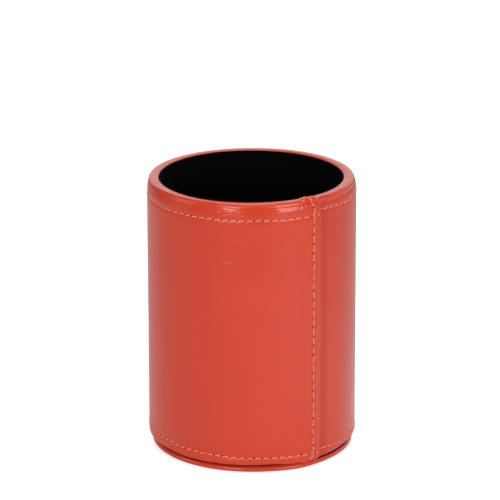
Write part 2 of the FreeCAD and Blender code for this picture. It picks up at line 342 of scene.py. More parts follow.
# %% The height of the lap
LAP_RISE = 0.45 * MM
RIDGE_SHEET = LAP_SHEET + 1.6
RIDGE_WIDTH = 2.4
CUT_WIDTH = 2.7
CUT_STEP = 0.03
# Each pillow is its place and width along the sheet, in degrees, and its height.
PILLOWS = ((2.6, 1.6, 0.06 * MM), (9.2, 1.4, 0.05 * MM))
TROUGH = 0.12 * MM
TROUGH_PLACE = 1.0
TROUGH_WIDTH = 2.6


def lap_height(sheet):
    """The step at the cut edge, the ridge where the layer below ends, and a dip past the step."""
    if sheet > 180:
        return -TROUGH * bell(360 - sheet - TROUGH_PLACE, TROUGH_WIDTH)
    rise = ease((RIDGE_SHEET - sheet) / RIDGE_WIDTH)
    pillow = sum(high * bell(sheet - place, width) for place, width, high in PILLOWS)
    return (LAP_RISE * rise + pillow * rise) * ease(sheet / CUT_WIDTH + CUT_STEP)


print(f"the lap stands {lap_height(5) / MM:.2f} mm above the wall")

# %% How far the wrap leans out
LEAN_RIM = 0.24 * MM
LEAN_FOOT = 0.32 * MM


def lean(sheet, height):
    """The wrap stands out a little on one side, and more so at the foot."""
    side = max(0.0, math.sin(math.radians(CUT_TURN - sheet)))
    return side * (LEAN_RIM + LEAN_FOOT * (1 - height / RIM))


print(f"the wrap leans out by up to {lean(CUT_TURN - 90, 0) / MM:.2f} mm")

# %% The needle holes and the valleys of the rows
ROW_VALLEY = 0.18 * MM
ROW_VALLEY_WIDTH = 0.62 * MM
HOLE_DEPTH = 0.46 * MM
HOLE_WIDTH = 0.30 * MM
OPEN_USUALLY = 0.8
OPEN_SPREAD = 0.9
OPEN_SCALE = 1.7 * MM
FAINT = 0.01


def arc(degrees):
    """The length on the wall of some degrees of turn."""
    return degrees * math.radians(1) * WALL


def openness(sheet, height):
    """How wide a needle hole stands open, because no two do."""
    place = around(CUT_TURN - sheet, WALL, height)
    return min(1.0, OPEN_USUALLY + OPEN_SPREAD * noise.noise(place / OPEN_SCALE))


def row_pit(sheet, above):
    """Up to 1 in the middle of a needle hole of a row, and 0 away from it."""
    hole = FIRST_HOLE + round((sheet - FIRST_HOLE) / ROW_STEP) * ROW_STEP
    depth = bell(math.hypot(arc(sheet - hole), above), HOLE_WIDTH)
    return depth * openness(hole, RIM) if depth > FAINT else 0.0


def row_sink(sheet, above):
    """How far a row pulls the leather in, at a height above its line."""
    return ROW_VALLEY * bell(above, ROW_VALLEY_WIDTH) + HOLE_DEPTH * row_pit(sheet, above)


print(f"a row sinks {row_sink(FIRST_HOLE, 0) / MM:.2f} mm at its first hole")

# %% The needle holes and the valley of the seam
SEAM_VALLEY = 0.16 * MM
SEAM_VALLEY_WIDTH = 0.60 * MM
SEAM_REACH = 2 * MM


def seam_pit(sheet, height):
    """Up to 1 in the middle of a needle hole of the seam, and 0 away from it."""
    aside = arc(sheet - SEAM_SHEET)
    if abs(aside) > SEAM_REACH:
        return 0.0
    nearest = min(seam_holes, key=lambda hole: abs(height - hole))
    return bell(math.hypot(height - nearest, aside), HOLE_WIDTH) * openness(SEAM_SHEET, nearest)


def seam_sink(sheet, height):
    valley = bell(arc(sheet - SEAM_SHEET), SEAM_VALLEY_WIDTH)
    return SEAM_VALLEY * valley + HOLE_DEPTH * seam_pit(sheet, height)


def pit(point):
    """How deep in a needle hole a point lies, from 0 to 1."""
    sheet = sheet_of(point)
    return max(row_pit(sheet, point.z - rim_row(sheet)), row_pit(sheet, point.z - foot_row(sheet)),
               seam_pit(sheet, point.z))


print(f"the seam sinks {seam_sink(SEAM_SHEET, seam_holes[3]) / MM:.2f} mm at its fourth hole")

# %% The whole height of the leather's face
BAND_SWELL = 0.06 * MM
BAND_PLACE = 1.8 * MM
BAND_WIDTH = 1.4 * MM
BAND_TOP = 0.9 * MM
# Each puff is how many times the band's swell it is, its place and width along the sheet in
# degrees, and its place and width above the row.
PUFFS = ((3.4, 19, 11, 2.7 * MM, 1.4 * MM), (2.6, 51, 9, 3.6 * MM, 1.3 * MM))
HEM_SWELL = 0.06 * MM
HEM_SWELL_DROP = 1.5 * MM
HEM_SWELL_WIDTH = 1.0 * MM
WAVES = 0.035 * MM
WAVE_SIZE = 14 * MM


def face_height(point):
    sheet = sheet_of(point)
    above_rim_row = point.z - rim_row(sheet)
    above_foot_row = point.z - foot_row(sheet)
    height = lap_height(sheet) + lean(sheet, point.z)
    height -= row_sink(sheet, above_rim_row)
    height -= row_sink(sheet, above_foot_row)
    height -= seam_sink(sheet, point.z)
    if point.z < RIM - BAND_TOP:
        height += BAND_SWELL * bell(above_rim_row - BAND_PLACE, BAND_WIDTH)
        for times, place, spread, above, width in PUFFS:
            height += (times * BAND_SWELL * bell(sheet - place, spread)
                       * bell(above_rim_row - above, width))
    height += HEM_SWELL * bell(above_foot_row + HEM_SWELL_DROP, HEM_SWELL_WIDTH)
    height += WAVES * noise.noise(point / WAVE_SIZE)
    return height


print(f"the wall's face at the front: {face_height(around(0, WALL, RIM / 2)) / MM:.3f} mm")

# %% Press out the lip
GIVE = 0.50 * MM
GIVE_TURN = -45
GIVE_WIDTH = 32
GIVE_DROP = 9 * MM
GIVE_RISE = 6 * MM


def give_way(verts):
    """Press the lip outwards on the left, where pens lean against it."""
    for vert in verts:
        turn = turn_of(vert.co)
        high = ease((vert.co.z - (RIM - GIVE_DROP)) / GIVE_RISE)
        vert.co += around(turn, GIVE * bell(turn - GIVE_TURN, GIVE_WIDTH) * high, 0)


lip = [vert for vert in wrap.verts if from_axis(vert.co) < LIP + LIP_ROLL]
give_way(lip)
print(f"pressed {len(lip)} points of the lip")

# %% Bend the lower edge
BEND_HEIGHT = 4 * MM
BEND_INSIDE = 1.5 * MM
BEND_BLEND = 0.9 * MM

bent = 0
for vert in wrap.verts:
    low = 1 - ease((vert.co.z - FOOT) / BEND_HEIGHT)
    out = ease((from_axis(vert.co) - (WALL - BEND_INSIDE)) / BEND_BLEND)
    if low > 0 and out > 0:
        vert.co.z += along(LOWER_EDGE, sheet_of(vert.co)) * MM * low * out
        bent += 1
print(f"bent {bent} points of the lower edge")

# %% [markdown]
# The finish of the leather needs to know what each place went through, so four values are kept
# with the points: how deep they lie in a needle hole, how far the leather was stretched over the
# rim, how much painted shade falls just past the cut edge, and how creased the wall is. An image
# could hold the same, but values on the points can never slip off the shape they belong to.

# %% What the leather went through
STRETCH_RISE = 1.5 * MM
# Painted shade past the cut edge: a darker red band just beyond the step, fading further round.
LAP_SHADE_START = 0.4
LAP_SHADE_RUN = 0.8
# Each fade is its share, and where it starts and how long it runs in degrees past the cut edge.
LAP_SHADE_FADES = ((0.8, 2.5, 5.0), (0.2, 45, 40))
CREASE_PLACE = 322
CREASE_WIDTH = 26
CREASE_DROP = 15 * MM
CREASE_HEIGHT = 9 * MM
CREASE_ELSEWHERE = 0.5
CREASE_CONTRAST = 3
CREASE_CLOUDS = 22 * MM


def lap_shade(beyond):
    """How much painted shade a place past the cut edge gets: most just beyond the step, then a
    faint tail.
    """
    faded = sum(share * ease((beyond - start) / run) for share, start, run in LAP_SHADE_FADES)
    return ease((beyond - LAP_SHADE_START) / LAP_SHADE_RUN) * (1 - faded)


def crease(point, beyond):
    """How creased the wall is: most in one patch below the rim, and here and there beside it."""
    patch = bell(beyond - CREASE_PLACE, CREASE_WIDTH)
    patch += CREASE_ELSEWHERE * ease(CREASE_CONTRAST * noise.noise(point / CREASE_CLOUDS))
    return min(patch, 1.0) * bell(point.z - (RIM - CREASE_DROP), CREASE_HEIGHT)


# The painted shade past the cut edge is darkest this far beyond it.
print(f"the stain is strongest about {LAP_SHADE_START + LAP_SHADE_RUN:.1f} degrees past the cut edge")

# %% Move the outside of the wrap
wrap.normal_update()
pits = wrap.verts.layers.float.new("pit")
stretched = wrap.verts.layers.float.new("stretched")
# This layer holds the painted shade past the cut edge.
lap_shaded = wrap.verts.layers.float.new("lap_shaded")
creased = wrap.verts.layers.float.new("creased")
moves = []
for vert in wrap.verts:
    if on_outside(vert):
        beyond = (360 - sheet_of(vert.co)) % 360
        vert[pits] = pit(vert.co)
        vert[stretched] = ease((vert.co.z - rim_row(360 - beyond)) / STRETCH_RISE)
        vert[lap_shaded] = lap_shade(beyond)
        vert[creased] = crease(vert.co, beyond)
        moves.append((vert, vert.normal * face_height(vert.co)))
for vert, move in moves:
    vert.co += move
print(f"moved {len(moves)} points of the outside")

# %% Make it a piece
skin = BVHTree.FromBMesh(wrap)
leather_wrap = shaped("leather_sheet", wrap)
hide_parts("leather_wrap")

# %% [markdown]
# ## The threads
#
# Each visible stitch is a short length of two-ply thread that comes out of one needle hole and
# dives into the next. A curve with a round bevel would look like wire. Here a small pinched circle
# is extruded step by step along the stitch's path and turned as it goes, which gives the twist.

# %% The path of a stitch
DIVE = 0.95 * MM
SEAT = 0.17 * MM
INSET = 0.34 * MM
BLUNTNESS = 8


def dive(share):
    """How far the thread stands above the leather at a share of its length."""
    return SEAT - DIVE * abs(2 * share - 1) ** BLUNTNESS


def straight(start, end, outward, slant):
    """The path of a stitch from one needle hole to the next."""
    run = (end - start).normalized()
    side = outward.cross(run).normalized()

    def path(share):
        along_it = INSET + share * ((end - start).length - 2 * INSET)
        aside = slant * math.sin(math.pi * (share - 0.5)) / 2
        return start + run * along_it + side * aside + outward * dive(share)

    return path


print(f"a stitch stands {dive(0.5) / MM:.2f} mm proud in its middle")

# %% One twisted stitch
THREAD = 0.46 * MM
THREAD_SIDES = 8
PINCH = 0.84
TWIST = 55
STITCH_STEPS = 9
GLANCE = 0.02


def lie(path, share, steps):
    """The placing of the thread's section at a share of a path."""
    ahead = path(share + GLANCE) - path(share - GLANCE)
    tilt = ahead.to_track_quat("Z", "Y").to_matrix().to_4x4()
    twist = Matrix.Rotation(math.radians(TWIST * steps * share), 4, "Z")
    return Matrix.Translation(path(share)) @ tilt @ twist


def lay_stitch(bm, path, steps=STITCH_STEPS):
    """Add a twisted thread along a path, closed at both ends."""
    ring = bmesh.ops.create_circle(bm, segments=THREAD_SIDES, radius=THREAD / 2,
                                   cap_ends=False)["verts"]
    bmesh.ops.scale(bm, vec=(1.0, PINCH, 1.0), verts=ring)
    edges = list({edge for vert in ring for edge in vert.link_edges})
    ends = edges[:]
    last = lie(path, 0, steps)
    bmesh.ops.transform(bm, matrix=last, verts=ring)
    for index in range(1, steps + 1):
        grown = bmesh.ops.extrude_edge_only(bm, edges=edges)["geom"]
        edges = [item for item in grown if isinstance(item, bmesh.types.BMEdge)]
        verts = [item for item in grown if isinstance(item, bmesh.types.BMVert)]
        following = lie(path, index / steps, steps)
        bmesh.ops.transform(bm, matrix=following @ last.inverted(), verts=verts)
        last = following
    bmesh.ops.holes_fill(bm, edges=ends + edges)


print(f"each stitch makes {TWIST * STITCH_STEPS / 360:.1f} turns of its twist")

# %% [markdown]
# The thread has to lie on the leather as it now is, with its lap, valleys and lean. So each stitch
# first asks how far out the face is, with a ray sent in from outside. Nobody sews evenly either:
# each stitch gets a little wander and slant of its own.

# %% Lay the two rows
HAND = random.Random(7)
ROW_SLANT = 0.22 * MM
ROW_SLANTS = (0.5, 1.3)
ROW_WANDER = 0.06
ROW_START = 0.25
ROW_END = 359.6
RAY_AWAY = 5 * MM


def seat_radius(sheet, height):
    """How far out the leather's face is at a place on the wall."""
    outside = around(CUT_TURN - sheet, WALL + RAY_AWAY, height)
    found = skin.ray_cast(outside, around(CUT_TURN - sheet + 180, 1, 0))[0]
    return from_axis(found)


def lay_row(name, row, node):
    """One row of stitches, from the cut edge round to where the sheet goes under it."""
    bm = bmesh.new()
    places = [ROW_START] + row_holes + [ROW_END]
    for start, end in zip(places, places[1:]):
        wander = HAND.uniform(-ROW_WANDER, ROW_WANDER) * MM
        middle = (start + end) / 2
        radius = seat_radius(middle, row(middle))
        low = around(CUT_TURN - start, radius, row(start) + wander)
        high = around(CUT_TURN - end, radius, row(end) + wander)
        outward = around(CUT_TURN - middle, 1, 0)
        lay_stitch(bm, straight(low, high, outward, ROW_SLANT * HAND.uniform(*ROW_SLANTS)))
    bmesh.ops.recalc_face_normals(bm, faces=bm.faces[:])
    made = shaped(name, bm)
    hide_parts(node)
    return made


rim_stitches = lay_row("rim_stitches", rim_row, "rim_thread")
foot_stitches = lay_row("foot_stitches", foot_row, "foot_thread")

# %% Lay the seam
SEAM_SLANT = 0.30 * MM
SEAM_SLANTS = (-1.2, 1.2)
SEAM_WANDER = 0.15
HEM = FOOT - 0.5 * MM
HEM_ASIDE = 1.6
OVER_TURNS = (0.2, -3.4)
OVER_RISES = (-8, 126)
CORE_DROP = 2 * MM
CORE_AWAY = 9


def over_rim(first, last, low, high):
    """The path of the stitch that folds over the rim, between two turns and two rises."""
    def path(share):
        turn = first + (last - first) * share
        rise = math.radians(low + (high - low) * share)
        core = around(turn, (WALL + LIP) / 2, RIM - CORE_DROP)
        way = around(turn, math.cos(rise), math.sin(rise))
        return skin.ray_cast(core + way * CORE_AWAY * MM, -way)[0] + way * dive(share)

    return path


def lay_seam():
    """The seam, from the lower edge up the lap, over the rim and down to its inner edge."""
    bm = bmesh.new()
    outward = around(SEAM_TURN, 1, 0)
    for low, high in zip(seam_holes, seam_holes[1:]):
        wander = HAND.uniform(-SEAM_WANDER, SEAM_WANDER)
        radius = seat_radius(SEAM_SHEET, (low + high) / 2)
        start = around(SEAM_TURN + wander, radius, low)
        end = around(SEAM_TURN - wander, radius, high)
        lay_stitch(bm, straight(start, end, outward, SEAM_SLANT * HAND.uniform(*SEAM_SLANTS)))
    first, last = (SEAM_TURN + aside for aside in OVER_TURNS)
    lay_stitch(bm, over_rim(first, last, *OVER_RISES), 2 * STITCH_STEPS)
    radius = seat_radius(SEAM_SHEET + HEM_ASIDE, HEM)
    hem = around(SEAM_TURN - HEM_ASIDE, radius, HEM)
    lay_stitch(bm, straight(hem, around(SEAM_TURN, radius, SEAM_LOW), outward, 0.0))
    bmesh.ops.recalc_face_normals(bm, faces=bm.faces[:])
    made = shaped("seam_stitches", bm)
    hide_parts("seam_thread")
    return made


seam_stitches = lay_seam()

# %% [markdown]
# ## The lining
#
# The wall of the well is lined with black pile cloth over a card sleeve. Pile has no sharp edges,
# so the sleeve is spun from a section with a soft rounded top, and its inner face is roughened by
# a fine noise that stands for tufts. The pile fluffs up to the level of the rim, stands a little
# proud of it at the front, and goes along where the lip is pressed out. The floor is a disc of
# the same cloth, a little higher in the middle than where it meets the wall.

# %% The pile
PILE = 0.10 * MM
TUFT = 1.3 * MM


def ruffle(bm, amount, scale, wanted=lambda vert: True):
    """Push points along their normals by a small noise."""
    bm.normal_update()
    moves = [(vert, vert.normal * amount * noise.noise(vert.co / scale))
             for vert in bm.verts if wanted(vert)]
    for vert, move in moves:
        vert.co += move


print(f"tufts of {TUFT / MM:.1f} mm stand up to {PILE / MM:.1f} mm high")

# %% Spin the sleeve
FLUFF = 0.28 * MM
PROUD = 0.45 * MM
PROUD_TURN = -18
PROUD_WIDTH = 36
PROUD_DROP = 2 * MM
PROUD_RISE = 1.6 * MM
SLEEVE_EDGE = 1.6 * MM
SLEEVE_STEPS = 144

WELL = LIP - GLUE - CLOTH
CLOTH_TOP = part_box("lining_cloth")[1].z + FLUFF
FLOOR_LOW, FLOOR_TOP = (corner.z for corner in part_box("lining_floor_cloth"))

sleeve = bmesh.new()
corners = outline(sleeve, (
    (WELL, FLOOR_TOP),
    (WELL, CLOTH_TOP),
    (LIP - GLUE, CLOTH_TOP),
    (LIP - GLUE, FLOOR_TOP),
))
round_corners(sleeve, corners, ((1, 0.28, 3), (2, 0.15, 2)))
split_long_edges(sleeve, SLEEVE_EDGE)
spin_round(sleeve, SLEEVE_STEPS)
print(f"plain sleeve: {len(sleeve.faces)} faces, inner radius {WELL / MM:.2f} mm")

# %% Raise, press and roughen the sleeve
for vert in sleeve.verts:
    high = ease((vert.co.z - (CLOTH_TOP - PROUD_DROP)) / PROUD_RISE)
    vert.co.z += PROUD * bell(turn_of(vert.co) - PROUD_TURN, PROUD_WIDTH) * high
give_way(sleeve.verts)
ruffle(sleeve, PILE, TUFT, lambda vert: from_axis(vert.co) < WELL + 0.1 * MM)
lining = shaped("pile_sleeve", sleeve)
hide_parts("lining_cloth")

# %% Spin the floor's cloth
FLOOR_EDGE = 1.6 * MM
FLOOR_STEPS = 120
FLOOR_FALL = 0.1 * MM

floor_disc = bmesh.new()
outline(floor_disc, (
    (0, FLOOR_LOW),
    (LIP - FLOOR_FALL, FLOOR_LOW),
    (LIP - FLOOR_FALL, FLOOR_TOP - FLOOR_FALL),
    (WELL - 1 * MM, FLOOR_TOP),
    (0, FLOOR_TOP),
), closed=False)
split_long_edges(floor_disc, FLOOR_EDGE)
spin_round(floor_disc, FLOOR_STEPS)
ruffle(floor_disc, PILE * 0.8, TUFT, lambda vert: vert.co.z > FLOOR_TOP - 0.05 * MM
       and from_axis(vert.co) < WELL - 1.2 * MM)
floor_pile = shaped("pile_floor", floor_disc)
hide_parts("lining_floor_cloth")

# %% [markdown]
# ## The base disc and its pad
#
# The base is a board disc in its own leather cover, glued on so that a dark gap shows all round.
# Its edge is well rounded, because the leather is pulled over the board and turned in on top. It
# is spun from its section too, and then made a little uneven, as a hand-glued cover is: a small
# pleat pushes its edge out on the right, and the whole disc sits half a millimetre off the middle.
# The top of the edge beside the pleat is darkened as painted shade, for the deep gap under the
# wrap.

# %% Sizes of the base
BASE_LOW, BASE_TOP = (corner.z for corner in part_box("base_leather"))
BOARD_LOW, BOARD_TOP = (corner.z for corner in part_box("base_board"))
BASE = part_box("base_leather")[1].x
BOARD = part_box("base_board")[1].x
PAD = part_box("base_pad")[1].x
TURNED_IN = 10 * MM
SLACK = 0.1 * MM
COVER_EDGE = 1.2 * MM
COVER_STEPS = 200
print(f"base {BASE / MM:.2f} mm and pad {PAD / MM:.2f} mm in radius")

# %% Spin the base's cover
cover = bmesh.new()
corners = outline(cover, (
    (0, BASE_LOW),
    (BASE + SLACK, BASE_LOW),
    (BASE + SLACK, BASE_TOP),
    (BASE - TURNED_IN, BASE_TOP),
    (BASE - TURNED_IN, BOARD_TOP),
    (BOARD, BOARD_TOP),
    (BOARD, BOARD_LOW),
    (0, BOARD_LOW),
), closed=False)
round_corners(cover, corners, ((1, 0.85, 6), (2, 1.0, 7)))
split_long_edges(cover, COVER_EDGE)
spin_round(cover, COVER_STEPS)
ruffle(cover, amount=0.05 * MM, scale=9 * MM,
       wanted=lambda vert: from_axis(vert.co) > BOARD + 0.3 * MM)
print(f"plain cover: {len(cover.faces)} faces")

# %% Pleat the cover, paint shade on the top of its edge and set it off the middle
PLEAT = 0.34 * MM
PLEAT_TURN = 27
PLEAT_WIDTH = 14
PLEAT_START = 0.5 * MM
PLEAT_FADE = 0.55
PLEAT_FADES = (0.9 * MM, 0.6 * MM)
GAP_SHADE = 0.6
GAP_SHADE_DEPTH = 0.35 * MM
GAP_SHADE_RISE = 0.3 * MM
GAP_SHADE_TURNS = (24, 66)
GAP_SHADE_BLEND = 14
OFF_MIDDLE = Vector((0.40 * MM, -0.30 * MM, 0))

cover.normal_update()
gap_shade = cover.verts.layers.float.new("pit")
for vert in cover.verts:
    turn = turn_of(vert.co)
    edge = ease((from_axis(vert.co) - BOARD) / PLEAT_START)
    edge *= 1 - PLEAT_FADE * ease((vert.co.z - (BASE_LOW + PLEAT_FADES[0])) / PLEAT_FADES[1])
    vert.co += vert.normal * PLEAT * edge * bell(turn - PLEAT_TURN, PLEAT_WIDTH)
    # Painted shade on the top of the edge beside the pleat, kept in the holes' layer so the hide
    # darkens it.
    top = ease((vert.co.z - (BASE_TOP - GAP_SHADE_DEPTH)) / GAP_SHADE_RISE)
    vert[gap_shade] = (GAP_SHADE * top * ease((turn - GAP_SHADE_TURNS[0]) / GAP_SHADE_BLEND)
                    * (1 - ease((turn - GAP_SHADE_TURNS[1]) / GAP_SHADE_BLEND)))
bmesh.ops.translate(cover, verts=cover.verts, vec=OFF_MIDDLE)
base_cover = shaped("base_cover", cover)
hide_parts("base_leather")

# %% Spin the felt pad
FELT_EDGE = 1.5 * MM
FELT_STEPS = 160

felt = bmesh.new()
corners = outline(felt, ((0, 0), (PAD, 0), (PAD, BASE_LOW), (0, BASE_LOW)), closed=False)
round_corners(felt, corners, ((1, 0.2, 2), (2, 0.15, 2)))
split_long_edges(felt, FELT_EDGE)
spin_round(felt, FELT_STEPS)
ruffle(felt, amount=0.06 * MM, scale=0.9 * MM,
       wanted=lambda vert: vert.co.z > 0.1 * MM and from_axis(vert.co) > PAD - 0.3 * MM)
pad = shaped("felt_pad", felt)
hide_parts("base_pad")

# %% [markdown]
# ## Materials
#
# Each finish starts from what the stuff is and how it was made. Colours are written as the hex
# values a screen would show and turned linear by one function. Patterns are scaled from real
# sizes: a texture with a scale of 1 repeats about once a metre, so a pattern of a given size in
# millimetres needs one over that size in metres. The patterns read the piece's own coordinates,
# so they stay on it wherever it goes.

# %% Helpers for materials
def colour(code):
    """Turn an sRGB hex colour linear."""
    parts = [int(code[index:index + 2], 16) / 255 for index in (1, 3, 5)]
    linear = [part / 12.92 if part <= 0.04045 else ((part + 0.055) / 1.055) ** 2.4
              for part in parts]
    return (*linear, 1.0)


def per(size):
    """The texture scale at which a pattern repeats about once in this size."""
    return 1 / size


def add(tree, kind, inputs=(), **settings):
    """Add a node. Inputs are (socket, value) pairs, and a value that is a socket is linked."""
    made = tree.nodes.new(kind)
    for name, value in settings.items():
        setattr(made, name, value)
    for socket, value in inputs:
        if isinstance(value, bpy.types.NodeSocket):
            tree.links.new(value, made.inputs[socket])
        else:
            made.inputs[socket].default_value = value
    return made


def new_material(name):
    """An empty material, its node tree and the coordinates of the piece that wears it."""
    material = bpy.data.materials.new(name)
    material.use_nodes = True
    tree = material.node_tree
    tree.nodes.clear()
    return material, tree, add(tree, "ShaderNodeTexCoord").outputs["Object"]


def dress(piece, material):
    piece.data.materials.clear()
    piece.data.materials.append(material)


print("mid grey turned linear:", round(colour("#808080")[0], 3))

# %% [markdown]
# ### Corrected-grain cowhide
#
# The hide is sanded, printed with a fine grain, dyed red-orange and sprayed with a thin clear
# finish. The dye gives a deep even colour with faint clouds in it. Painted shade darkens it to a
# deeper red just past the cut edge, in the needle holes and on the top of the base's edge beside
# the pleat. The clear finish gives soft reflections that turn strong and pale where the surface
# curves away from the eye. The grain shows only in the highlights. Where the leather was pulled
# over the rim it is creased across and pressed smoother.

# %% The hide's colour
CLOUD_SIZE = 16 * MM
HOLE_SHADE = (0.15, 0.5)


def hole_shade(tree):
    """Painted shade for the needle holes, from how deep a place lies in one, and for the base's
    edge.
    """
    holes = add(tree, "ShaderNodeAttribute", attribute_name="pit")
    shade = add(tree, "ShaderNodeMapRange", [("Value", holes.outputs["Fac"]),
                                             ("From Min", HOLE_SHADE[0]),
                                             ("From Max", HOLE_SHADE[1])])
    return shade.outputs[0]


def dye(tree, place, shade):
    """Faint clouds, then painted shade: a deeper red past the cut edge, and dark needle holes."""
    clouds = add(tree, "ShaderNodeTexNoise", [("Vector", place), ("Scale", per(CLOUD_SIZE)),
                                              ("Detail", 3.0), ("Roughness", 0.55)])
    tint = add(tree, "ShaderNodeMix", [(0, clouds.outputs[0]), (6, colour("#C83618")),
                                       (7, colour("#D03D20"))], data_type="RGBA")
    # Painted shade: a deeper red just past the cut edge, then the needle holes and the base's
    # edge.
    lap_shading = add(tree, "ShaderNodeAttribute", attribute_name="lap_shaded")
    shaded_past_cut = add(tree, "ShaderNodeMix", [(0, lap_shading.outputs["Fac"]), (6, tint.outputs[2]),
                                      (7, colour("#BC2E14"))], data_type="RGBA")
    hole_and_gap_shade = add(tree, "ShaderNodeMix", [(0, shade), (6, shaded_past_cut.outputs[2]),
                                          (7, colour("#7C0E04"))], data_type="RGBA")
    return hole_and_gap_shade.outputs[2]


print(f"clouds of {CLOUD_SIZE / MM:.0f} mm in the dye")

# %% The hide's grain
GRAIN_SIZE = 0.38 * MM
PORE_SIZE = 0.7 * MM
GRAIN_SHARE = 0.12


def printed_grain(tree, place):
    """The printed grain with its pores: it breaks up the highlights."""
    grain = add(tree, "ShaderNodeTexVoronoi", [("Vector", place), ("Scale", per(GRAIN_SIZE))],
                feature="SMOOTH_F1")
    pores = add(tree, "ShaderNodeTexNoise", [("Vector", place), ("Scale", per(PORE_SIZE)),
                                             ("Detail", 2.0)])
    both = add(tree, "ShaderNodeMath", [(0, grain.outputs[0]), (1, pores.outputs[0])],
               operation="ADD")
    faint = add(tree, "ShaderNodeMath", [(0, both.outputs[0]), (1, GRAIN_SHARE)],
                operation="MULTIPLY")
    return faint.outputs[0]


print(f"grain of {GRAIN_SIZE / MM:.2f} mm and pores every {PORE_SIZE / MM:.1f} mm")

# %% The hide's folds
CREASE_SIZE = 6 * MM
CREASE_FLATNESS = 4
CREASE_RANGE = (0.52, 0.66)
CRINKLE_SIZE = 2.0 * MM
CRINKLE_SHARE = 1.8
RELIEF = 0.12 * MM


def level_noise(tree, place, size, flatness):
    """A noise drawn out along the horizontal, as creases and brush strokes lie."""
    squash = add(tree, "ShaderNodeMapping", [("Vector", place), ("Scale", (1, 1, flatness))])
    drawn = add(tree, "ShaderNodeTexNoise", [("Vector", squash.outputs[0]), ("Scale", per(size)),
                                             ("Detail", 1.0)])
    return drawn.outputs[0]


def relief(tree, place, band):
    """The grain, the crinkles of the band above the row, and the few creases of the wall."""
    crinkles = level_noise(tree, place, CRINKLE_SIZE, CREASE_FLATNESS)
    folds = add(tree, "ShaderNodeMath", [(0, crinkles), (1, band)], operation="MULTIPLY")
    folded = add(tree, "ShaderNodeMath", [(0, folds.outputs[0]), (1, CRINKLE_SHARE),
                                          (2, printed_grain(tree, place))],
                 operation="MULTIPLY_ADD")
    lines = add(tree, "ShaderNodeMapRange", [
        ("Value", level_noise(tree, place, CREASE_SIZE, CREASE_FLATNESS)),
        ("From Min", CREASE_RANGE[0]), ("From Max", CREASE_RANGE[1])])
    creased = add(tree, "ShaderNodeAttribute", attribute_name="creased")
    creases = add(tree, "ShaderNodeMath", [(0, lines.outputs[0]), (1, creased.outputs["Fac"])],
                  operation="MULTIPLY")
    height = add(tree, "ShaderNodeMath", [(0, folded.outputs[0]), (1, creases.outputs[0])],
                 operation="SUBTRACT")
    bump = add(tree, "ShaderNodeBump", [("Height", height.outputs[0]), ("Strength", 1.0),
                                        ("Distance", RELIEF)])
    return bump.outputs[0]


print(f"the crinkles of the band are up to {RELIEF * CRINKLE_SHARE / MM:.2f} mm deep")

# %% The hide's gloss
STROKE_SIZE = 6 * MM
STROKE_FLATNESS = 7
STROKE_RANGE = (0.3, 0.7)
ROUGHNESS = (0.28, 0.35)
PRESSED_SMOOTHER = -0.12
HOLE_ROUGHER = 0.5


def gloss(tree, place, band, shade):
    """Strokes of the finish, smoother where the band was pressed and rough in the holes."""
    strokes = add(tree, "ShaderNodeMapRange", [
        ("Value", level_noise(tree, place, STROKE_SIZE, STROKE_FLATNESS)),
        ("From Min", STROKE_RANGE[0]), ("From Max", STROKE_RANGE[1]),
        ("To Min", ROUGHNESS[0]), ("To Max", ROUGHNESS[1])])
    pressed = add(tree, "ShaderNodeMath", [(0, band), (1, PRESSED_SMOOTHER),
                                           (2, strokes.outputs[0])], operation="MULTIPLY_ADD")
    rough = add(tree, "ShaderNodeMath", [(0, shade), (1, HOLE_ROUGHER),
                                         (2, pressed.outputs[0])], operation="MULTIPLY_ADD")
    return rough.outputs[0]


print(f"roughness from {ROUGHNESS[0] + PRESSED_SMOOTHER:.2f} to {ROUGHNESS[1] + HOLE_ROUGHER:.2f}")

# %% Put the hide together and dress the wrap and the base's cover
COAT = 0.22
COAT_ROUGHNESS = 0.12
FINISH_IOR = 1.42


def cowhide():
    """The thin coat gives a sharper glint on top of the soft one that the hide itself gives."""
    material, tree, place = new_material("corrected_grain_cowhide_red")
    band = add(tree, "ShaderNodeAttribute", attribute_name="stretched").outputs["Fac"]
    shade = hole_shade(tree)
    shader = add(tree, "ShaderNodeBsdfPrincipled", [
        ("Base Color", dye(tree, place, shade)), ("Roughness", gloss(tree, place, band, shade)),
        ("IOR", FINISH_IOR), ("Coat Weight", COAT), ("Coat Roughness", COAT_ROUGHNESS),
        ("Normal", relief(tree, place, band))])
    add(tree, "ShaderNodeOutputMaterial", [("Surface", shader.outputs[0])])
    print(f"{material.name}: {len(tree.nodes)} nodes")
    return material


leather = cowhide()
for piece in (leather_wrap, base_cover):
    dress(piece, leather)

# %% [markdown]
# ### Bonded polyester thread
#
# Sewing thread is dyed a lighter orange than the hide and bonded with a little resin, so it has a
# soft sheen along its plies, and no glint. Fine flecks stand for its filaments.

# %% The thread
# A filament is 0.02 mm thick, too fine to show in the render, so it is drawn this coarse.
FILAMENT = 0.3 * MM
FILAMENT_RELIEF = 0.04 * MM
THREAD_SHEEN = 0.15


